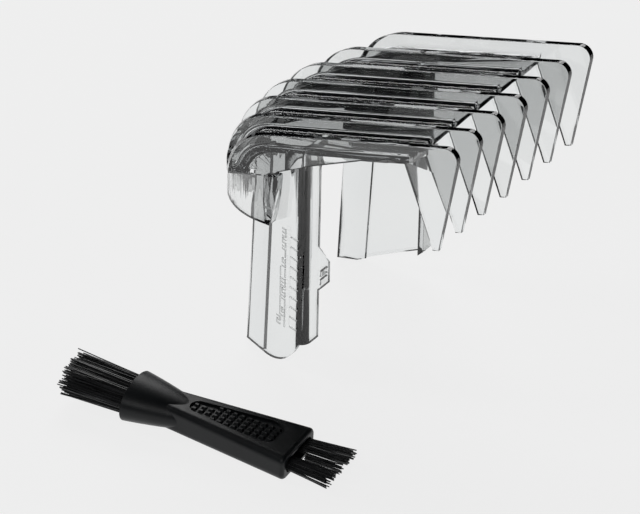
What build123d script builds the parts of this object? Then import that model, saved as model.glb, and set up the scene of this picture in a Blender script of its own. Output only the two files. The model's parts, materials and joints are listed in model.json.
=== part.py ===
from build123d import *
import math
import os

# A slide-on guide comb for a hair clipper and the small two-ended brush that cleans it.
# Row frame: +Z up, +X towards the comb's teeth, +Y across the comb.
# Z = 0 is the level of the comb's arm tips, which the brush also lies on.
# All lengths are in millimetres and all angles in degrees.

# ---- Comb: ribs and teeth ----
RIB_COUNT = 7
RIB_PITCH = 7.0
RIB_THICK = 1.2
RIB_EDGE_ROUND = 0.14
TOP_SLOPE = 16.24
TOP_HEIGHT = 47.7          # the sloping top's height where it crosses X = 0
TOOTH_CORNER_X = 39.24
TOOTH_CORNER_ROUND = 2.0
TOOTH_TIP = (35.6, 37.4)
TOOTH_TIP_WIDTH = 1.25
TOOTH_TIP_DROP = 0.42      # how much lower the tip's back corner is than its front one
TOOTH_TIP_THICK = 0.75
TOOTH_ROOT = (28.2, 52.3)

# ---- Comb: hood ----
HOOD_RADIUS = 31.6         # plan radius of the rounded back
HOOD_CENTRE_X = 14.7
HOOD_BACK_ROUND = 11.5     # rounding from the sloping top into the upright back
HOOD_BOTTOM = 29.3
HOOD_FRONT_X = 28.8
WEB_DROP = 2.8             # how far the web lies under the ribs' top edges
WEB_THICK = 0.95
VALLEY_ROUND = 1.1         # rounding where the web meets each rib
LEDGE_THICK = 1.2          # the shelf at the web's back, which stands on the skirt
SIDE_RIB_UNDER = [(19.0, 49.4), (8.5, 44.4), (1.6, 40.6)]   # the outer ribs' deeper lower edge
SKIRT_DROP = 8.4           # the skirt starts this far under the sloping top
SKIRT_WALL = 1.2
SKIRT_FRONT = [(2.25, 42.0), (1.9, 35.9), (0.4, 29.2)]     # the skirt's curved front edge
SKIRT_CLOSURE_X = -0.9     # the back of the wall that joins each front edge to its arm
SKIRT_CORNER = 13.0

# ---- Comb: arms ----
ARM_WALL = 1.2
ARM_FLANGE_X = 8.0
ARM_FLANGE_Y = 16.7
ARM_OUTER_Y = 21.6
ARM_CORNER = 2.0
ARM_MID = (2.2, 20.1)
ARM_KNEE_Y = 18.0
ARM_LEAN = 0.037           # the arms' backs lean rearwards towards their lower ends
SCALE_ARM_KNEE_X = -3.8
SCALE_ARM_BACK = (-7.4, 16.6)
SCALE_ARM_TIP = [(-1.9, 0.0), (4.3, 2.6), (6.6, 6.3), (8.0, 6.3)]    # one arc, then the flange
PLAIN_ARM_KNEE_X = -5.7
PLAIN_ARM_BACK = (-9.5, 15.2)
PLAIN_ARM_TIP = [(-5.5, 0.3), (-0.8, 2.1), (6.2, 4.7), (8.0, 6.5)]
GUSSET_RADIUS = 5.5

# ---- Comb: catch and scale ----
CATCH_TOP = 25.1
CATCH_SHOULDER = 20.3
CATCH_BOTTOM = 16.1
CATCH_REACH = 3.3
CATCH_SLOT_HEIGHT = 1.1
CATCH_SLOT_REACH = 2.1
MARK_COUNT = 10
MARK_STEP = 2.083          # one 2 mm length step, measured down the arm
MARK_FIRST_Z = 28.15
MARK_X = 5.6
MARK_LENGTH = 2.0
MARK_WIDTH = 0.26
MARK_RELIEF = 0.12
NUMBER_FIRST = 3
NUMBER_STEP = 2
NUMBER_HEIGHT = 1.5
NUMBER_X = 2.9
NUMBER_PITCH = 1.2

# ---- Brush ----
BRUSH_LENGTH = 32.3
BRUSH_WIDE = (11.6, 8.0)
BRUSH_NECK = (7.2, 5.2)
BRUSH_END = (11.9, 5.0)
BRUSH_NECK_X = 10.5
FLARE_SWELL = (2.2, 1.5)   # how much wider and higher the flare is half way to the neck
FLARE_TAIL = 2.0           # how far the flare runs on into the bar
BAR_START_WIDE = 5.6
BAR_CORNER = 1.0
BAR_END_CORNER = 1.5
BAR_END_ROUND = 0.7
BRUSH_TURN = 7.0
BRUSH_PLACE = (-9.2, -47.8)
END_POCKET = (9.4, 3.0, 1.6)
END_POCKET_ROUND = 1.45
GRIP_START_X = 10.9
GRIP_END_X = 28.9
GRIP_SMALL_R = 1.75
GRIP_LARGE_R = 3.3
GRIP_DEPTH = 0.45
STUD_PITCH = (1.4, 1.16)
STUD_SIZE = (1.12, 0.9)
STUD_FIRST_X = 0.97        # from the grip's start to its first studs
STUD_HEIGHT = 0.42
STUD_TAPER = 30
STUD_OVERRUN = 0.12        # how far a stud's corner may run into the grip's edge
TUFT_HOLE_R = 0.78
WIDE_TUFT_DEPTH = 3.2
WIDE_ROWS = ((-1.85, 3), (0.0, 4), (1.85, 3))
WIDE_PITCH = 2.2
WIDE_TUFT_LENGTH = 13.2
WIDE_RIM = 0.9
WIDE_CUP = 0.8             # how deep the wide end's tuft face lies inside its rim
NARROW_TUFT_DEPTH = 4.2
NARROW_COUNT = 5
NARROW_PITCH = 1.9
NARROW_TUFT_LENGTH = 8.4
TUFT_TIP_R = 1.02
WIDE_SPREAD = 1.1          # how much wider the bundles stand at their tips
NARROW_SPREAD = 1.3
ANCHOR = (1.2, 1.56, 0.3)  # the flat metal anchor that holds each folded tuft

# ---- Worked out ----
SLOPE = math.tan(math.radians(TOP_SLOPE))
RIB_YS = [(i - (RIB_COUNT - 1) / 2) * RIB_PITCH for i in range(RIB_COUNT)]
SIDE_Y = RIB_YS[-1] + RIB_THICK / 2
INNER_DROP = WEB_DROP + WEB_THICK
FAR = 200.0                # a size larger than everything, for cutting solids
FRONT_X = 50.0             # in front of every tooth
VALLEY_CUT_X = 40.0        # where the rounded valleys are first cut off, in front of the hood
MARGIN = 1.0               # how far a cutting shape reaches past what it cuts
TOUCH = 0.01               # closer than this counts as touching
ON_WEB = 0.28              # an edge this near the web's line is its foot


def top_z(x, drop=0.0):
    """Height of the sloping top at x, lowered by drop."""
    return TOP_HEIGHT + SLOPE * x - drop


def side_prism(points, y_low, y_high):
    """A closed outline of (x, z) points, filled and run from y_low to y_high."""
    outline = Polyline(*[(x, y_low, z) for x, z in points], close=True)
    return extrude(make_face(outline), amount=y_high - y_low, dir=(0, 1, 0))


def plan_prism(face, z_low, z_high):
    """A face drawn in plan, run from z_low to z_high."""
    return extrude(Pos(0, 0, z_low) * face, amount=z_high - z_low, dir=(0, 0, 1))


def block(low, high):
    """A box between two corners."""
    size = [b - a for a, b in zip(low, high)]
    centre = [(a + b) / 2 for a, b in zip(low, high)]
    return Pos(*centre) * Box(*size)


def below_top(drop):
    """The half space under the sloping top lowered by drop."""
    points = [(-FAR, -FAR), (FAR, -FAR), (FAR, top_z(FAR, drop)), (-FAR, top_z(-FAR, drop))]
    return side_prism(points, -FAR, FAR)


# ---- Comb ----
def hood_section(y, drop):
    """The hood's filled side view at y: sloping top, rounding and upright back, moved inwards by drop."""
    beta = math.radians(TOP_SLOPE)
    radius = HOOD_BACK_ROUND - drop
    back_x = HOOD_CENTRE_X - math.sqrt((HOOD_RADIUS - drop) ** 2 - y * y)
    centre_x = back_x + radius
    centre_z = top_z(centre_x, drop) - radius / math.cos(beta)
    start = (centre_x - radius * math.sin(beta), y, centre_z + radius * math.cos(beta))
    half_way = (math.radians(90) + beta + math.radians(180)) / 2
    middle = (centre_x + radius * math.cos(half_way), y, centre_z + radius * math.sin(half_way))
    end = (back_x, y, centre_z)
    front_top = (FRONT_X, y, top_z(FRONT_X, drop))
    lines = [
        Line(front_top, start),
        ThreePointArc(start, middle, end),
        Line(end, (back_x, y, 0)),
        Line((back_x, y, 0), (FRONT_X, y, 0)),
        Line((FRONT_X, y, 0), front_top),
    ]
    return make_face(Wire(lines))


def envelope(drop, half_width):
    """Everything under the hood's outer surface, moved inwards by drop."""
    step = RIB_PITCH / 2
    count = math.ceil((SIDE_Y + MARGIN) / step)
    sections = [hood_section(i * step, drop) for i in range(-count, count + 1)]
    return loft(sections) & block((-FAR, -half_width, -FAR), (FAR, half_width, FAR))


def tooth(y):
    """A rib's front: the sloping top, a rounded corner and the pointed tooth, thinning to its tip."""
    tip_x, tip_z = TOOTH_TIP
    back_x = TOOTH_ROOT[0] - RIB_PITCH
    corner = (TOOTH_CORNER_X, top_z(TOOTH_CORNER_X))
    points = [
        (back_x, top_z(back_x)),
        corner,
        (tip_x, tip_z),
        (tip_x - TOOTH_TIP_WIDTH, tip_z - TOOTH_TIP_DROP),
        TOOTH_ROOT,
        (back_x, top_z(back_x, INNER_DROP)),
    ]
    solid = side_prism(points, y - RIB_THICK, y + RIB_THICK)
    front = [e for e in solid.edges() if abs((e @ 0.5).X - corner[0]) < TOUCH]
    return fillet(front, TOOTH_CORNER_ROUND) & taper_prism(y)


def taper_prism(y):
    """Full rib thickness above the tooth's root, thinning to the tooth's tip."""
    half, tip_half = RIB_THICK / 2, TOOTH_TIP_THICK / 2
    root_z, tip_z = TOOTH_ROOT[1], TOOTH_TIP[1] - MARGIN
    points = [
        (0, y - half, FAR),
        (0, y - half, root_z),
        (0, y - tip_half, tip_z),
        (0, y + tip_half, tip_z),
        (0, y + half, root_z),
        (0, y + half, FAR),
    ]
    return extrude(make_face(Polyline(*points, close=True)), amount=FAR, dir=(1, 0, 0))


def rib(y, outer, inner):
    """One rib: a thin plate along the hood that ends in a tooth. The two outer ribs reach lower."""
    low_y, high_y = y - RIB_THICK / 2, y + RIB_THICK / 2
    bar = (outer - inner) & block((-FAR, low_y, -FAR), (TOOTH_ROOT[0] - RIB_PITCH / 2, high_y, FAR))
    if abs(y) == RIB_YS[-1]:
        rear, front = SIDE_RIB_UNDER[-1][0], SIDE_RIB_UNDER[0][0]
        points = [(-FAR, 0), (rear, 0), *reversed(SIDE_RIB_UNDER), (front, FAR), (-FAR, FAR)]
        bar = (side_prism(points, low_y, high_y) & outer) + bar
    bar = bar - below_top(SKIRT_DROP)
    whole = bar + tooth(y)
    return round_rib_edges(whole, y)


def round_rib_edges(solid, y):
    """Rounds the two long edges along a rib's top, its corner and its back."""
    half = RIB_THICK / 2
    outer = []
    for edge in solid.edges():
        middle = edge @ 0.5
        on_side = abs(abs(middle.Y - y) - half) < TOUCH
        near_top = middle.Z > top_z(middle.X, WEB_DROP / 2) and middle.X > 0
        if on_side and near_top and edge.length > RIB_THICK:
            outer.append(edge)
    return fillet(outer, RIB_EDGE_ROUND)


def valley(outer, web_outer, low_y):
    """The web between the rib at low_y and the next one, rounded up into both ribs' sides."""
    half = RIB_THICK / 2
    high_y = low_y + RIB_PITCH
    solid = web_outer & block((-FAR, low_y - half, 0), (VALLEY_CUT_X, high_y + half, FAR))
    for y in (low_y, high_y):
        solid = solid + (outer & block((-FAR, y - half, 0), (VALLEY_CUT_X, y + half, FAR)))
    concave = []
    for y in (low_y + half, high_y - half):
        curve = hood_section(y, WEB_DROP).wire()
        for edge in solid.edges():
            along = [edge @ 0.1, edge @ 0.5, edge @ 0.9]
            on_side = all(abs(point.Y - y) < TOUCH for point in along)
            on_web = all(curve.distance_to(point) < ON_WEB for point in along)
            upright_front = min((edge @ 0).X, (edge @ 1).X) > VALLEY_CUT_X - TOUCH
            level_bottom = max((edge @ 0).Z, (edge @ 1).Z) < TOUCH
            if on_side and on_web and not upright_front and not level_bottom:
                concave.append(edge)
    solid = fillet(concave, VALLEY_ROUND)
    return solid & block((-FAR, low_y + half, 0), (HOOD_FRONT_X, high_y - half, FAR))


def hood_web(outer, web_outer, inner):
    """The curved sheet between the ribs, with the ledge that carries its back on the skirt."""
    half = RIB_THICK / 2
    strips = []
    for low_y in RIB_YS[RIB_COUNT // 2:-1]:
        bay = block((-FAR, low_y + half, 0), (HOOD_FRONT_X, low_y + RIB_PITCH - half, FAR))
        ledge = outer & bay & below_top(SKIRT_DROP - LEDGE_THICK)
        strip = (valley(outer, web_outer, low_y) + ledge) - inner - below_top(SKIRT_DROP)
        strips.append(strip.solids().sort_by(SortBy.VOLUME)[-1])
    return Compound(strips + [mirror(strip, about=Plane.XZ) for strip in strips])


def skirt_face(inset):
    """The skirt's plan: the rounded back with softened corners, moved inwards by inset."""
    disc = Pos(HOOD_CENTRE_X, 0) * Circle(HOOD_RADIUS - inset)
    depth = 2 * HOOD_RADIUS
    sides = Pos(HOOD_CENTRE_X - depth / 2, 0) * Rectangle(depth, 2 * (SIDE_Y - inset))
    face = disc & sides
    corners = face.vertices().sort_by(Axis.X)[:2]
    return fillet(corners, SKIRT_CORNER - inset)


def skirt_side_view():
    """Everything behind the skirt's curved front edge, as a filled side view."""
    high, middle, low = [(x, -FAR, z) for x, z in SKIRT_FRONT]
    back = -FAR
    lines = [
        ThreePointArc(high, middle, low),
        Line(low, (back, -FAR, low[2])),
        Line((back, -FAR, low[2]), (back, -FAR, high[2])),
        Line((back, -FAR, high[2]), high),
    ]
    return extrude(make_face(Wire(lines)), amount=2 * FAR, dir=(0, 1, 0))


def hood_skirt(arms):
    """The upright wall below the ribs, which curves round the back and meets the arms."""
    face = skirt_face(0) - skirt_face(SKIRT_WALL)
    wall = plan_prism(face, HOOD_BOTTOM, FAR)
    low = (SKIRT_CLOSURE_X, ARM_MID[1] - SKIRT_WALL, HOOD_BOTTOM)
    high = (SKIRT_FRONT[0][0], SIDE_Y, FAR)
    front = block(low, high)
    wall = wall + front + mirror(front, about=Plane.XZ)
    wall = wall & skirt_side_view() & below_top(SKIRT_DROP)
    for arm in arms:
        wall = wall - arm
    return wall.solids().sort_by(SortBy.VOLUME)[-1]


def circle_through(a, b, c):
    """Centre and radius of the circle through three plan points."""
    ax, ay, bx, by, cx, cy = *a, *b, *c
    d = 2 * (ax * (by - cy) + bx * (cy - ay) + cx * (ay - by))
    aa, bb, cc = ax * ax + ay * ay, bx * bx + by * by, cx * cx + cy * cy
    x = (aa * (by - cy) + bb * (cy - ay) + cc * (ay - by)) / d
    y = (aa * (cx - bx) + bb * (ax - cx) + cc * (bx - ax)) / d
    return (x, y), math.hypot(ax - x, ay - y)


ARM_CENTRE, ARM_RADIUS = circle_through((ARM_FLANGE_X, ARM_OUTER_Y), ARM_MID, (SCALE_ARM_KNEE_X, ARM_KNEE_Y))


def arm_face(knee_x, back, z):
    """An arm's plan at height z on the +Y side: a curved wall, a flange at its front and a bent-in back."""
    knee_x = knee_x + ARM_LEAN * z
    knee = Vector(knee_x, ARM_CENTRE[1] + math.sqrt(ARM_RADIUS**2 - (knee_x - ARM_CENTRE[0]) ** 2), 0)
    rear = Vector(back[0] + ARM_LEAN * z, back[1], 0)
    centre = Pos(*ARM_CENTRE)
    ring = centre * Circle(ARM_RADIUS) - centre * Circle(ARM_RADIUS - ARM_WALL)
    span = ARM_FLANGE_X - knee_x
    wall = ring & (Pos(knee_x + span / 2, FAR / 2) * Rectangle(span, FAR))
    flange_wide = ARM_OUTER_Y - ARM_FLANGE_Y
    flange = Rectangle(ARM_WALL, flange_wide)
    flange = Pos(ARM_FLANGE_X - ARM_WALL / 2, ARM_FLANGE_Y + flange_wide / 2) * flange
    flange = flange & (centre * Circle(ARM_RADIUS))
    inward = (rear - knee).normalized().rotate(Axis.Z, 90) * ARM_WALL
    bend = make_face(Polyline(knee, rear, rear + inward, knee + inward + Vector(ARM_WALL, 0), close=True))
    face = wall + flange + bend
    corner = face.vertices().sort_by_distance((ARM_FLANGE_X, ARM_OUTER_Y))[0]
    return Pos(0, 0, z) * fillet(corner, ARM_CORNER)


def scale_arm_side_view():
    """The scale arm's filled side view: its lower end is level, then rounds up to its flange."""
    level, middle, end, flange = [(x, 0, z) for x, z in SCALE_ARM_TIP]
    back = (-FAR, 0, level[2])
    lines = [
        Line(back, level),
        ThreePointArc(level, middle, end),
        Line(end, flange),
        Line(flange, (flange[0], 0, FAR)),
        Line((flange[0], 0, FAR), (-FAR, 0, FAR)),
        Line((-FAR, 0, FAR), back),
    ]
    return extrude(make_face(Wire(lines)), amount=FAR, dir=(0, 1, 0))


def plain_arm_side_view():
    """The plain arm's filled side view: its lower end slopes up towards its flange."""
    back = (-FAR, PLAIN_ARM_TIP[0][1])
    return side_prism([back, *PLAIN_ARM_TIP, (ARM_FLANGE_X, FAR), (-FAR, FAR)], 0, FAR)


def arm(knee_x, back, side_view, inner, ribs):
    """One arm on the +Y side, from its lower end up to the underside of the hood."""
    shape = loft([arm_face(knee_x, back, -MARGIN), arm_face(knee_x, back, TOP_HEIGHT)], ruled=True)
    shape = shape & side_view & inner
    for one in ribs:
        shape = shape - one
    return shape.solids().sort_by(SortBy.VOLUME)[-1]


def gusset(inner, arm_solid, ribs):
    """The concave web between a flange's top and the underside of the hood, on the +Y side."""
    top = top_z(ARM_FLANGE_X, INNER_DROP)
    low_y, low_z = ARM_FLANGE_Y - GUSSET_RADIUS, top - GUSSET_RADIUS
    plate = block((ARM_FLANGE_X - ARM_WALL, low_y, low_z), (ARM_FLANGE_X, ARM_FLANGE_Y, top + MARGIN))
    hollow = Pos(ARM_FLANGE_X, low_y, low_z) * Rot(0, 90, 0) * Cylinder(GUSSET_RADIUS, 4 * ARM_WALL)
    plate = (plate - hollow) & inner
    plate = plate - arm_solid
    for one in ribs:
        plate = plate - one
    return plate


def catch_tab():
    """The thin latch plate that stands inwards from one flange, with two slots through it."""
    y0, y1 = -ARM_FLANGE_Y, -ARM_FLANGE_Y + CATCH_REACH
    outline = [(0, y0, CATCH_TOP), (0, y1, CATCH_SHOULDER), (0, y1, CATCH_BOTTOM), (0, y0, CATCH_BOTTOM)]
    plate = extrude(make_face(Polyline(*outline, close=True)), amount=ARM_WALL, dir=(1, 0, 0))
    plate = Pos(ARM_FLANGE_X - ARM_WALL, 0, 0) * plate
    gap = (CATCH_SHOULDER - CATCH_BOTTOM - 2 * CATCH_SLOT_HEIGHT) / 3
    for i in range(2):
        z = CATCH_BOTTOM + gap + CATCH_SLOT_HEIGHT / 2 + i * (gap + CATCH_SLOT_HEIGHT)
        slot_y = (y0 + y1) / 2
        plate = plate - Pos(ARM_FLANGE_X, slot_y, z) * Box(4 * ARM_WALL, CATCH_SLOT_REACH, CATCH_SLOT_HEIGHT)
    return plate


def arm_skin():
    """A very thin layer on the outside of the -Y arm, which the raised marks are cut from."""
    centre = Pos(ARM_CENTRE[0], -ARM_CENTRE[1])
    ring = centre * Circle(ARM_RADIUS + MARK_RELIEF) - centre * Circle(ARM_RADIUS)
    near = Pos(0, -FAR / 2) * Rectangle(2 * ARM_FLANGE_X, FAR)
    return plan_prism(ring & near, 0, HOOD_BOTTOM)


def raised(shapes, skin):
    """Flat (x, z) outlines, cut out of the arm's skin."""
    deep = SIDE_Y + MARGIN
    cutters = [extrude(Pos(0, -deep, 0) * shape, amount=deep, dir=(0, 1, 0)) for shape in shapes]
    return Compound([solid for cutter in cutters for solid in (cutter & skin).solids()])


def upright(x, z, width, height):
    """A rectangle in the x-z plane, centred on (x, z)."""
    return Pos(x, 0, z) * (Plane.XZ * Rectangle(width, height))


def scale_marks():
    """The row of short level strokes, one for each length setting."""
    zs = [MARK_FIRST_Z - i * MARK_STEP for i in range(MARK_COUNT)]
    return [upright(MARK_X, z, MARK_LENGTH, MARK_WIDTH) for z in zs]


# The seven strokes of a plain numeral: (x, z, runs upright) in halves of its width and height.
STROKES = {
    "top": (0, 1, False),
    "middle": (0, 0, False),
    "bottom": (0, -1, False),
    "upper_left": (-1, 0.5, True),
    "lower_left": (-1, -0.5, True),
    "upper_right": (1, 0.5, True),
    "lower_right": (1, -0.5, True),
}
RIGHT = ("upper_right", "lower_right")
NUMERALS = {
    "1": RIGHT,
    "2": ("top", "upper_right", "middle", "lower_left", "bottom"),
    "3": ("top", "middle", "bottom", *RIGHT),
    "5": ("top", "upper_left", "middle", "lower_right", "bottom"),
    "7": ("top", *RIGHT),
    "9": ("top", "upper_left", "middle", "bottom", *RIGHT),
}


def numeral(digit, x, z):
    """One numeral drawn with plain strokes, centred on (x, z)."""
    half_w, half_h = NUMBER_HEIGHT / 4, NUMBER_HEIGHT / 2
    shape = None
    for name in NUMERALS[digit]:
        u, v, runs_upright = STROKES[name]
        wide = MARK_WIDTH if runs_upright else 2 * half_w + MARK_WIDTH
        high = half_h + MARK_WIDTH if runs_upright else MARK_WIDTH
        stroke = upright(x + u * half_w, z + v * half_h, wide, high)
        shape = stroke if shape is None else shape + stroke
    return shape


def scale_numbers():
    """Each setting's cutting length in millimetres, beside its mark."""
    shapes = []
    for i in range(MARK_COUNT):
        text = str(NUMBER_FIRST + i * NUMBER_STEP)
        for j, digit in enumerate(text):
            x = NUMBER_X + (j - len(text) + 1) * NUMBER_PITCH
            shapes.append(numeral(digit, x, MARK_FIRST_Z - i * MARK_STEP))
    return shapes


def build_comb():
    """All the comb's regions by name. Each meets its neighbours face to face."""
    outer = envelope(0, SIDE_Y)
    web_outer = envelope(WEB_DROP, SIDE_Y)
    inner = envelope(INNER_DROP, SIDE_Y + MARGIN)
    ribs = [rib(y, outer, inner) for y in RIB_YS]
    far_arm = arm(PLAIN_ARM_KNEE_X, PLAIN_ARM_BACK, plain_arm_side_view(), inner, ribs)
    near_arm = arm(SCALE_ARM_KNEE_X, SCALE_ARM_BACK, scale_arm_side_view(), inner, ribs)
    near_arm = mirror(near_arm, about=Plane.XZ)
    far_gusset = gusset(inner, far_arm, ribs)
    near_gusset = mirror(far_gusset, about=Plane.XZ)
    skin = arm_skin()
    nodes = {f"rib_{i + 1}": one for i, one in enumerate(ribs)}
    nodes["hood_web"] = hood_web(outer, web_outer, inner)
    nodes["hood_skirt"] = hood_skirt([near_arm, far_arm])
    nodes["scale_arm"] = near_arm
    nodes["plain_arm"] = far_arm
    nodes["scale_arm_gusset"] = near_gusset
    nodes["plain_arm_gusset"] = far_gusset
    nodes["catch_tab"] = catch_tab()
    nodes["scale_marks"] = raised(scale_marks(), skin)
    nodes["scale_numbers"] = raised(scale_numbers(), skin)
    return nodes


# ---- Brush, built along +X with its wide end at x = 0 ----
def end_face(x, width, height, corner):
    """A rounded rectangle across the brush at x."""
    return Pos(x, 0, 0) * (Plane.YZ * RectangleRounded(width, height, corner))


def oval(x, width, height):
    """An ellipse across the brush at x."""
    return Pos(x, 0, 0) * (Plane.YZ * Ellipse(width / 2, height / 2))


def handle_body():
    """A cone-like flare that runs into a flat bar, which widens to the narrow tufts' end."""
    neck_w, neck_h = BRUSH_NECK
    flare = loft(
        [
            oval(0, *BRUSH_WIDE),
            oval(BRUSH_NECK_X / 2, neck_w + FLARE_SWELL[0], neck_h + FLARE_SWELL[1]),
            oval(BRUSH_NECK_X + FLARE_TAIL, neck_w - FLARE_TAIL, neck_h - FLARE_TAIL / 2),
        ]
    )
    bar = loft(
        [
            end_face(BRUSH_NECK_X / 2, BAR_START_WIDE, BRUSH_END[1], BAR_CORNER),
            end_face(BRUSH_LENGTH, BRUSH_END[0], BRUSH_END[1], BAR_END_CORNER),
        ]
    )
    rim = bar.faces().sort_by(Axis.X)[-1].edges()
    return flare + fillet(rim, BAR_END_ROUND)


def grip_outline():
    """The grip's plan: a small round end and a large round end joined by tangent sides."""
    small = Pos(GRIP_START_X + GRIP_SMALL_R, 0) * Circle(GRIP_SMALL_R)
    large = Pos(GRIP_END_X - GRIP_LARGE_R, 0) * Circle(GRIP_LARGE_R)
    return make_face(make_hull([*small.edges(), *large.edges()]))


def stud_fits(x, y):
    """True where a stud at (x, y) stays inside the grip's outline."""
    start, end = GRIP_START_X + GRIP_SMALL_R, GRIP_END_X - GRIP_LARGE_R
    share = min(1, max(0, (x - start) / (end - start)))
    radius = GRIP_SMALL_R + share * (GRIP_LARGE_R - GRIP_SMALL_R)
    centre = start + share * (end - start)
    long, wide = abs(x - centre) + STUD_SIZE[0] / 2, abs(y) + STUD_SIZE[1] / 2
    return math.hypot(long, wide) < radius + STUD_OVERRUN


def grip_studs():
    """The rows of small pointed studs inside the grip."""
    columns = int((GRIP_END_X - GRIP_START_X) / STUD_PITCH[0])
    half_rows = math.ceil(GRIP_LARGE_R / STUD_PITCH[1])
    studs = []
    for i in range(columns):
        for j in range(-half_rows, half_rows):
            x = GRIP_START_X + STUD_FIRST_X + i * STUD_PITCH[0]
            y = (j + 0.5) * STUD_PITCH[1]
            if stud_fits(x, y):
                stud = extrude(Pos(x, y, 0) * Rectangle(*STUD_SIZE), amount=STUD_HEIGHT, taper=STUD_TAPER)
                studs.append(stud)
    return studs


def tuft(start, tip, depth):
    """One folded tuft: a straight root in its hole and a bundle that spreads towards its tip.
    start and tip are points, and depth is how far the root goes in, away from the tip."""
    away = 1 if tip[0] > start[0] else -1
    root = Pos(start[0] - away * depth / 2, start[1], start[2]) * Rot(0, 90, 0) * Cylinder(TUFT_HOLE_R, depth)
    foot = Pos(*start) * (Plane.YZ * Circle(TUFT_HOLE_R))
    end = Pos(*tip) * (Plane.YZ * Circle(TUFT_TIP_R))
    return root + loft([foot, end])


def wide_places():
    """Where the wide end's tufts stand, as (y, z)."""
    return [((i - (count - 1) / 2) * WIDE_PITCH, z) for z, count in WIDE_ROWS for i in range(count)]


def narrow_places():
    """Where the narrow end's tufts stand, as (y, z)."""
    return [((i - (NARROW_COUNT - 1) / 2) * NARROW_PITCH, 0.0) for i in range(NARROW_COUNT)]


def anchor(x, y, z):
    """The flat metal anchor across a tuft's fold."""
    return Pos(x, y, z) * Box(ANCHOR[0], ANCHOR[2], ANCHOR[1])


def build_brush():
    """All the brush's pieces by name, in the brush's own frame."""
    handle = handle_body()
    top = BRUSH_END[1] / 2
    grip = extrude(Pos(0, 0, top - GRIP_DEPTH) * grip_outline(), amount=BRUSH_WIDE[1])
    handle = handle - grip
    for stud in grip_studs():
        handle = handle + Pos(0, 0, top - GRIP_DEPTH) * stud
    pocket_w, pocket_h, pocket_deep = END_POCKET
    pocket = Plane.YZ * RectangleRounded(pocket_w, pocket_h, END_POCKET_ROUND)
    handle = handle - extrude(Pos(BRUSH_LENGTH - pocket_deep, 0, 0) * pocket, amount=2 * pocket_deep)
    cup = Ellipse(BRUSH_WIDE[0] / 2 - WIDE_RIM, BRUSH_WIDE[1] / 2 - WIDE_RIM)
    handle = handle - extrude(Pos(WIDE_CUP, 0, 0) * (Plane.YZ * cup), amount=-2 * WIDE_CUP)
    nodes = {}
    wide_anchors, narrow_anchors = [], []
    for i, (y, z) in enumerate(wide_places()):
        tip = (-WIDE_TUFT_LENGTH, y * WIDE_SPREAD, z * WIDE_SPREAD)
        wide_anchors.append(anchor(WIDE_CUP + WIDE_TUFT_DEPTH - ANCHOR[0] / 2, y, z))
        nodes[f"wide_tuft_{i + 1}"] = tuft((WIDE_CUP, y, z), tip, WIDE_TUFT_DEPTH)
    base = BRUSH_LENGTH - pocket_deep
    for i, (y, z) in enumerate(narrow_places()):
        tip = (BRUSH_LENGTH + NARROW_TUFT_LENGTH, y * NARROW_SPREAD, z)
        narrow_anchors.append(anchor(base - NARROW_TUFT_DEPTH + ANCHOR[0] / 2, y, z))
        nodes[f"narrow_tuft_{i + 1}"] = tuft((base, y, z), tip, NARROW_TUFT_DEPTH)
    anchors = wide_anchors + narrow_anchors
    for name in nodes:
        handle = handle - nodes[name]
    for one in anchors:
        handle = handle - one
    for name in nodes:
        nodes[name] = nodes[name] - anchors
    nodes["brush_handle"] = handle
    nodes["wide_end_anchors"] = Compound(wide_anchors)
    nodes["narrow_end_anchors"] = Compound(narrow_anchors)
    return nodes


def place_brush(nodes):
    """Lays the brush beside the comb, on its wide rim and its narrow end's lower edge."""
    drop = (BRUSH_WIDE[1] - BRUSH_END[1]) / 2
    tilt = math.degrees(math.atan(drop / BRUSH_LENGTH))
    lie = Rot(0, 0, BRUSH_TURN) * Rot(0, tilt, 0)
    lowest = (lie * nodes["brush_handle"]).bounding_box().min.Z
    place = Pos(BRUSH_PLACE[0], BRUSH_PLACE[1], -lowest) * lie
    return {name: place * shape for name, shape in nodes.items()}


def main():
    os.makedirs("parts", exist_ok=True)
    nodes = build_comb()
    nodes.update(place_brush(build_brush()))
    for name, shape in nodes.items():
        export_step(shape, f"parts/{name}.step")


main()
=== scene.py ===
import json
import math
import random

import bmesh
import bpy
from mathutils import Matrix, Vector


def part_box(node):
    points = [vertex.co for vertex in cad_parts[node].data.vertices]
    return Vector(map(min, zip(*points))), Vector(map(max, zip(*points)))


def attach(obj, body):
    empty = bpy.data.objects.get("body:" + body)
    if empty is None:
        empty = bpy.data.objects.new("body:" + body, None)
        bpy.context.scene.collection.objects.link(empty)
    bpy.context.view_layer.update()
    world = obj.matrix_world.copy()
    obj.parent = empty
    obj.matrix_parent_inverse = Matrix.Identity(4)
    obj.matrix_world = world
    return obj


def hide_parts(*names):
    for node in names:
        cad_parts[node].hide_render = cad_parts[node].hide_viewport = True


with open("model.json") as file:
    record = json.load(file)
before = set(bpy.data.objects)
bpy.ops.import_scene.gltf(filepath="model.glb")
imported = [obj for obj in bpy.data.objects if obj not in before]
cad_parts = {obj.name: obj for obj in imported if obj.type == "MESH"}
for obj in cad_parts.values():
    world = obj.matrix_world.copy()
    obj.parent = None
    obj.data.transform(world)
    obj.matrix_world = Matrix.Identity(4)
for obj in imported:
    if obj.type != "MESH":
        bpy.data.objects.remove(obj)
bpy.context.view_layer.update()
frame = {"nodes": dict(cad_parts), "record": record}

MM = 0.001
NODES = frame["nodes"]
COMB_NODES = frame["record"]["behaviour"]["bodies"]["comb"]

# ---- Camera: a long lens from the front right, looking down on the set ----
CAMERA_AZIMUTH = math.radians(33.94)
CAMERA_ELEVATION = math.radians(33.13)
CAMERA_ROLL = math.radians(1.21)
CAMERA_DISTANCE = 925.8 * MM
CAMERA_AIM = Vector((25.05, -41.97, 42.98)) * MM
LENS = 309.4
SENSOR = 36.0


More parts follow.
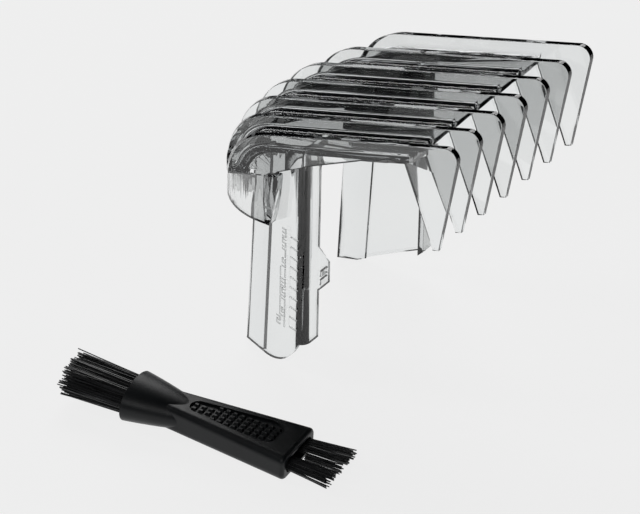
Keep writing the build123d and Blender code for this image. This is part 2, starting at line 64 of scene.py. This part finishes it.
def make_camera():
    """The camera stands at an azimuth and elevation from its aim point, turned slightly about its axis."""
    a, e = CAMERA_AZIMUTH, CAMERA_ELEVATION
    back = Vector((math.sin(a) * math.cos(e), -math.cos(a) * math.cos(e), math.sin(e)))
    right = Vector((math.cos(a), math.sin(a), 0))
    up = back.cross(right)
    c, s = math.cos(CAMERA_ROLL), math.sin(CAMERA_ROLL)
    rolled_right = c * right + s * up
    rolled_up = c * up - s * right
    data = bpy.data.cameras.new("camera")
    data.lens = LENS
    data.sensor_width = SENSOR
    data.clip_start, data.clip_end = 0.01, 50
    camera = bpy.data.objects.new("camera", data)
    turn = Matrix((rolled_right, rolled_up, back)).transposed()
    camera.matrix_world = Matrix.Translation(CAMERA_AIM + back * CAMERA_DISTANCE) @ turn.to_4x4()
    bpy.context.scene.collection.objects.link(camera)
    bpy.context.scene.camera = camera


# ---- Small helpers ----
def link(obj):
    bpy.context.scene.collection.objects.link(obj)
    return obj


def object_from_bmesh(name, bm):
    mesh = bpy.data.meshes.new(name)
    bm.to_mesh(mesh)
    bm.free()
    return link(bpy.data.objects.new(name, mesh))


def node_tree(name):
    """A new material with its principled shader: (material, nodes, links, shader)."""
    material = bpy.data.materials.new(name)
    material.use_nodes = True
    tree = material.node_tree
    shader = next(n for n in tree.nodes if n.type == "BSDF_PRINCIPLED")
    return material, tree.nodes, tree.links, shader


def noise(nodes, links, scale, detail=3.0, roughness=0.5, stretch=(1, 1, 1)):
    """A noise texture in the object's own coordinates, in metres, stretched by axis."""
    place = nodes.new("ShaderNodeTexCoord")
    mapping = nodes.new("ShaderNodeMapping")
    mapping.inputs["Scale"].default_value = stretch
    texture = nodes.new("ShaderNodeTexNoise")
    texture.inputs["Scale"].default_value = scale
    texture.inputs["Detail"].default_value = detail
    texture.inputs["Roughness"].default_value = roughness
    links.new(place.outputs["Object"], mapping.inputs["Vector"])
    links.new(mapping.outputs["Vector"], texture.inputs["Vector"])
    return texture


def ramp(nodes, links, source, stops):
    """A colour ramp over a texture's value: stops are (position, colour)."""
    node = nodes.new("ShaderNodeValToRGB")
    while len(node.color_ramp.elements) < len(stops):
        node.color_ramp.elements.new(0.5)
    for element, (position, colour) in zip(node.color_ramp.elements, stops):
        element.position = position
        element.color = (*colour, 1)
    links.new(source, node.inputs["Fac"])
    return node


def map_range(nodes, links, source, low, high):
    """A texture's 0 to 1 value, moved to the range from low to high."""
    node = nodes.new("ShaderNodeMapRange")
    node.inputs["To Min"].default_value = low
    node.inputs["To Max"].default_value = high
    links.new(source, node.inputs["Value"])
    return node.outputs["Result"]


def bump(nodes, links, shader, height, strength, distance):
    """Fine relief on a shader's surface, from a texture's value."""
    node = nodes.new("ShaderNodeBump")
    node.inputs["Strength"].default_value = strength
    node.inputs["Distance"].default_value = distance
    links.new(height, node.inputs["Height"])
    links.new(node.outputs["Normal"], shader.inputs["Normal"])


def material_output(nodes):
    return next(n for n in nodes if n.type == "OUTPUT_MATERIAL")


# ---- Materials ----
def clear_plastic():
    """Glossy clear plastic with a faint smoke tint, slow moulding waviness and fine handling marks.
    The tint is in the depth of the plastic, so a long way through it looks darker."""
    material, nodes, links, shader = node_tree("clear_plastic")
    shader.inputs["Transmission Weight"].default_value = 1.0
    shader.inputs["IOR"].default_value = 1.57
    tint = noise(nodes, links, 60, 2.0)
    stops = [(0.3, (0.94, 0.955, 0.955)), (0.7, (0.97, 0.98, 0.975))]
    colours = ramp(nodes, links, tint.outputs["Fac"], stops)
    links.new(colours.outputs["Color"], shader.inputs["Base Color"])
    smears = noise(nodes, links, 450, 4.0, 0.6, (1, 1, 0.3))
    links.new(map_range(nodes, links, smears.outputs["Fac"], 0.0, 0.04), shader.inputs["Roughness"])
    waves = noise(nodes, links, 70, 1.0, 0.4)
    bump(nodes, links, shader, waves.outputs["Fac"], 0.04, 0.0006)
    smoke = nodes.new("ShaderNodeVolumeAbsorption")
    smoke.inputs["Color"].default_value = (0.10, 0.13, 0.15, 1)
    smoke.inputs["Density"].default_value = 85.0
    links.new(smoke.outputs["Volume"], material_output(nodes).inputs["Volume"])
    return material


def black_plastic():
    """Black satin moulded plastic: a fine grain, with slow changes of gloss and of shade."""
    material, nodes, links, shader = node_tree("black_plastic")
    cloud = noise(nodes, links, 180, 4.0, 0.6)
    stops = [(0.3, (0.0045, 0.0053, 0.0062)), (0.75, (0.009, 0.0105, 0.012))]
    colours = ramp(nodes, links, cloud.outputs["Fac"], stops)
    links.new(colours.outputs["Color"], shader.inputs["Base Color"])
    shader.inputs["Specular IOR Level"].default_value = 0.28
    gloss = noise(nodes, links, 320, 3.0, 0.5)
    links.new(map_range(nodes, links, gloss.outputs["Fac"], 0.30, 0.48), shader.inputs["Roughness"])
    grain = noise(nodes, links, 5200, 2.0, 0.6)
    bump(nodes, links, shader, grain.outputs["Fac"], 0.25, 0.00006)
    return material


def bristle_plastic():
    """Black nylon filament, a little lighter in some strands than in others."""
    material, nodes, links, shader = node_tree("bristle_plastic")
    strands = noise(nodes, links, 900, 2.0, 0.5, (0.12, 1, 1))
    stops = [(0.35, (0.004, 0.0045, 0.005)), (0.8, (0.016, 0.017, 0.019))]
    colours = ramp(nodes, links, strands.outputs["Fac"], stops)
    links.new(colours.outputs["Color"], shader.inputs["Base Color"])
    links.new(map_range(nodes, links, strands.outputs["Fac"], 0.25, 0.5), shader.inputs["Roughness"])
    return material


def anchor_metal():
    """Plain brass strip with drawn streaks."""
    material, nodes, links, shader = node_tree("anchor_metal")
    streaks = noise(nodes, links, 2500, 3.0, 0.6, (1, 1, 0.1))
    stops = [(0.3, (0.50, 0.36, 0.14)), (0.7, (0.72, 0.56, 0.28))]
    colours = ramp(nodes, links, streaks.outputs["Fac"], stops)
    links.new(colours.outputs["Color"], shader.inputs["Base Color"])
    shader.inputs["Metallic"].default_value = 1.0
    links.new(map_range(nodes, links, streaks.outputs["Fac"], 0.25, 0.45), shader.inputs["Roughness"])
    return material


def give_material(obj, material):
    obj.data.materials.clear()
    obj.data.materials.append(material)


# ---- Comb: its regions joined into the single clear moulding that it really is ----
SAME_POINT = 1e-7
COMB_EDGE_ANGLE = math.radians(32)


def cleaned_copy(name):
    """A closed copy of a CAD node's mesh, with its doubled points joined."""
    bm = bmesh.new()
    bm.from_mesh(NODES[name].data)
    bmesh.ops.remove_doubles(bm, verts=bm.verts, dist=SAME_POINT)
    mesh = bpy.data.meshes.new(name + "_copy")
    bm.to_mesh(mesh)
    bm.free()
    return bpy.data.objects.new(name + "_copy", mesh)


def make_comb(material):
    """One continuous shell, so that light bends only where the real moulding has a surface."""
    copies = [cleaned_copy(name) for name in COMB_NODES]
    base = link(copies[0])
    rest = bpy.data.collections.new("comb_regions")
    bpy.context.scene.collection.children.link(rest)
    for copy in copies[1:]:
        rest.objects.link(copy)
    union = base.modifiers.new("union", "BOOLEAN")
    union.operation = "UNION"
    union.operand_type = "COLLECTION"
    union.collection = rest
    union.solver = "EXACT"
    graph = bpy.context.evaluated_depsgraph_get()
    mesh = bpy.data.meshes.new_from_object(base.evaluated_get(graph))
    for copy in copies:
        bpy.data.objects.remove(copy)
    bpy.data.collections.remove(rest)
    mesh.name = "comb_moulding"
    comb = link(bpy.data.objects.new("comb_moulding", mesh))
    mesh.shade_smooth()
    mesh.set_sharp_from_angle(angle=COMB_EDGE_ANGLE)
    weigh = comb.modifiers.new("weigh", "WEIGHTED_NORMAL")
    weigh.mode = "FACE_AREA"
    weigh.weight = 100
    weigh.thresh = 0.0001
    weigh.keep_sharp = True
    give_material(comb, material)
    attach(comb, "comb")
    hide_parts(*COMB_NODES)


# ---- Brush: real bristles in place of the CAD's solid tufts ----
BRISTLE_RADIUS = 0.105 * MM
BRISTLE_THICKNESSES = (0.85, 1.1)   # the thinnest and the thickest, against BRISTLE_RADIUS
BRISTLE_SIDES = 6
BRISTLE_RINGS = 5
BRISTLE_EDGE_ANGLE = math.radians(50)
FOOT_RADIUS = 0.74 * MM
ROOT_SHARE = 0.15                   # how far a bristle runs back into its hole, against its length
CAD_ROOT_CLEAR = 1.5 * MM           # leaves out the closed ends of a CAD tuft
STRAY = 0.16
LOOSE_STRAY = 0.9                   # the few loose bristles spread this much instead
LOOSE_SHARE = 0.02
GOLDEN_ANGLE = math.pi * (3 - math.sqrt(5))
WIDE_END = {"count": 34, "tip_radius": 0.95 * MM, "ragged": 0.14, "bend": 0.20 * MM, "seed": 3}
NARROW_END = {"count": 26, "tip_radius": 0.80 * MM, "ragged": 0.12, "bend": 0.16 * MM, "seed": 5}


def tuft_line(name, axis):
    """Where a CAD tuft leaves its hole and where it ends, as (foot, tip) centres."""
    points = [v.co.copy() for v in NODES[name].data.vertices]
    along = [p.dot(axis) for p in points]
    root, tip = min(along), max(along)
    clear = CAD_ROOT_CLEAR

    def centre(low, high):
        ring = {tuple(round(c, 7) for c in p) for p, t in zip(points, along) if low <= t <= high}
        return sum((Vector(p) for p in ring), Vector()) / len(ring)

    return centre(root + clear, tip - clear), centre(tip - clear / 10, tip)


def across(along):
    """Two unit directions square to a line: one level, and one square to both."""
    side = along.cross(Vector((0, 0, 1))).normalized()
    return side, side.cross(along).normalized()


def bristle_tube(bm, path, radius):
    """A thin tube along a path of points, cut square at its tip."""
    rings = []
    side, lift = across(path[-1] - path[0])
    for point in path:
        ring = []
        for k in range(BRISTLE_SIDES):
            turn = 2 * math.pi * k / BRISTLE_SIDES
            outward = math.cos(turn) * side + math.sin(turn) * lift
            ring.append(bm.verts.new(point + radius * outward))
        rings.append(ring)
    for low, high in zip(rings, rings[1:]):
        for k in range(BRISTLE_SIDES):
            j = (k + 1) % BRISTLE_SIDES
            bm.faces.new((low[k], low[j], high[j], high[k]))
    bm.faces.new(reversed(rings[0]))
    bm.faces.new(rings[-1])


def add_tuft(bm, draw, foot, tip, count, tip_radius, ragged, bend):
    """One tuft: bristles packed round a hole that fan out, bend a little and end unevenly."""
    along = tip - foot
    side, lift = across(along)
    for i in range(count):
        reach, turn = math.sqrt((i + 0.5) / count), i * GOLDEN_ANGLE
        way = reach * (math.cos(turn) * side + math.sin(turn) * lift)
        loose = LOOSE_STRAY if draw.random() < LOOSE_SHARE else STRAY
        stray = draw.gauss(0, loose) * side + draw.gauss(0, loose) * lift
        start = foot - ROOT_SHARE * along + FOOT_RADIUS * way
        end = foot + along * (1 - ragged * draw.random() ** 2) + tip_radius * (way + stray)
        bow = bend * (draw.gauss(0, 1) * side + draw.gauss(0, 1) * lift)
        path = []
        for k in range(BRISTLE_RINGS):
            t = k / (BRISTLE_RINGS - 1)
            path.append(start.lerp(end, t) + bow * t * t)
        bristle_tube(bm, path, BRISTLE_RADIUS * draw.uniform(*BRISTLE_THICKNESSES))


def make_bristles(name, tufts, axis, material, count, tip_radius, ragged, bend, seed):
    """All the bristles of one end of the brush, in place of its CAD tufts."""
    draw = random.Random(seed)
    bm = bmesh.new()
    for tuft in tufts:
        foot, tip = tuft_line(tuft, axis)
        add_tuft(bm, draw, foot, tip, count, tip_radius, ragged, bend)
    piece = object_from_bmesh(name, bm)
    piece.data.shade_smooth()
    piece.data.set_sharp_from_angle(angle=BRISTLE_EDGE_ANGLE)
    give_material(piece, material)
    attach(piece, "brush")
    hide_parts(*tufts)


def make_brush(material):
    """The bristles of both ends. The brush's axis runs from its wide end to its narrow one."""
    wide = [name for name in NODES if name.startswith("wide_tuft_")]
    narrow = [name for name in NODES if name.startswith("narrow_tuft_")]

    def middle(names):
        """The middle of the names' boxes, on average."""
        centres = [(Vector(low) + Vector(high)) / 2 for low, high in map(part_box, names)]
        return sum(centres, Vector()) / len(names)

    axis = (middle(narrow) - middle(wide)).normalized()
    make_bristles("wide_bristles", wide, -axis, material, **WIDE_END)
    make_bristles("narrow_bristles", narrow, axis, material, **NARROW_END)


# ---- Stage ----
PALE = 0.871               # the grey of the floor and of what lies beyond it, for the camera
FLOOR_SIZE = 3.0
FLOOR_GAP = 0.0002         # the floor lies this far under the part, so that they don't share a face
FLOOR_OWN_LIGHT = 0.93     # the rest of the floor's grey comes from the lights
GLOW_RADIUS = 0.38
GLOW_EDGE = 0.7
GLOW = 0.87
DARK_GLOW = 0.02
LIGHT_TARGET = Vector((0, 0, 0.03))
CLEAR_DEPTH = 3            # light through one wall keeps its strength
DARK_DEPTH = 6             # light that has crossed or met this many surfaces is nearly gone


def make_floor():
    """A pale light table round the set, whose light fades as it crosses or meets many surfaces."""
    bm = bmesh.new()
    bmesh.ops.create_grid(bm, x_segments=1, y_segments=1, size=FLOOR_SIZE / 2)
    floor = object_from_bmesh("floor", bm)
    floor.location.z = -FLOOR_GAP
    material, nodes, links, shader = node_tree("floor")
    shader.inputs["Base Color"].default_value = (0.10, 0.10, 0.10, 1)
    shader.inputs["Roughness"].default_value = 1.0
    shader.inputs["Specular IOR Level"].default_value = 0.0
    shader.inputs["Emission Color"].default_value = (PALE, PALE, PALE, 1)
    shader.inputs["Emission Strength"].default_value = FLOOR_OWN_LIGHT
    glow = nodes.new("ShaderNodeEmission")
    place = nodes.new("ShaderNodeTexCoord")
    distance = nodes.new("ShaderNodeVectorMath")
    distance.operation = "LENGTH"
    fall = nodes.new("ShaderNodeMapRange")
    fall.interpolation_type = "SMOOTHSTEP"
    fall.inputs["From Min"].default_value = GLOW_RADIUS
    fall.inputs["From Max"].default_value = GLOW_EDGE
    fall.inputs["To Min"].default_value = GLOW
    fall.inputs["To Max"].default_value = 0.0
    links.new(place.outputs["Object"], distance.inputs[0])
    links.new(distance.outputs["Value"], fall.inputs["Value"])
    path = nodes.new("ShaderNodeLightPath")
    layers = nodes.new("ShaderNodeMapRange")
    layers.inputs["From Min"].default_value = CLEAR_DEPTH
    layers.inputs["From Max"].default_value = DARK_DEPTH
    layers.inputs["To Max"].default_value = DARK_GLOW
    links.new(path.outputs["Ray Depth"], layers.inputs["Value"])
    links.new(fall.outputs["Result"], layers.inputs["To Min"])
    links.new(layers.outputs["Result"], glow.inputs["Strength"])
    mix = nodes.new("ShaderNodeMixShader")
    links.new(path.outputs["Is Camera Ray"], mix.inputs["Fac"])
    links.new(glow.outputs["Emission"], mix.inputs[1])
    links.new(shader.outputs["BSDF"], mix.inputs[2])
    links.new(mix.outputs["Shader"], material_output(nodes).inputs["Surface"])
    give_material(floor, material)


def area_light(name, place, size, watts):
    """A soft rectangular light that faces the set. The camera and light through plastic don't see it."""
    data = bpy.data.lights.new(name, "AREA")
    data.shape = "RECTANGLE"
    data.size, data.size_y = size
    data.energy = watts
    light = link(bpy.data.objects.new(name, data))
    light.location = place
    light.rotation_euler = (LIGHT_TARGET - Vector(place)).to_track_quat("-Z", "Y").to_euler()
    light.visible_camera = False
    light.visible_transmission = False


def make_lights():
    area_light("softbox_top", (-0.42, 0.62, 0.62), (0.7, 0.5), 4.0)
    area_light("softbox_left", (-0.9, -0.35, 0.55), (0.25, 0.8), 2.5)
    area_light("softbox_front", (0.25, -0.9, 0.75), (0.6, 0.3), 2.0)


def make_world():
    """A dark room for reflections, pale only where the camera looks straight at it."""
    world = bpy.data.worlds.new("world")
    bpy.context.scene.world = world
    world.use_nodes = True
    nodes, links = world.node_tree.nodes, world.node_tree.links
    room = nodes["Background"]
    room.inputs["Color"].default_value = (0.004, 0.0045, 0.005, 1)
    pale = nodes.new("ShaderNodeBackground")
    pale.inputs["Color"].default_value = (PALE, PALE, PALE, 1)
    path = nodes.new("ShaderNodeLightPath")
    mix = nodes.new("ShaderNodeMixShader")
    links.new(path.outputs["Is Camera Ray"], mix.inputs["Fac"])
    links.new(room.outputs["Background"], mix.inputs[1])
    links.new(pale.outputs["Background"], mix.inputs[2])
    links.new(mix.outputs["Shader"], nodes["World Output"].inputs["Surface"])


bpy.context.scene.view_settings.view_transform = "Standard"
make_camera()
make_world()
make_lights()
make_floor()
CLEAR, BLACK = clear_plastic(), black_plastic()
BRISTLE, METAL = bristle_plastic(), anchor_metal()
make_comb(CLEAR)
give_material(NODES["brush_handle"], BLACK)
make_brush(BRISTLE)
for name in NODES:
    if name.endswith("_anchors"):
        give_material(NODES[name], METAL)
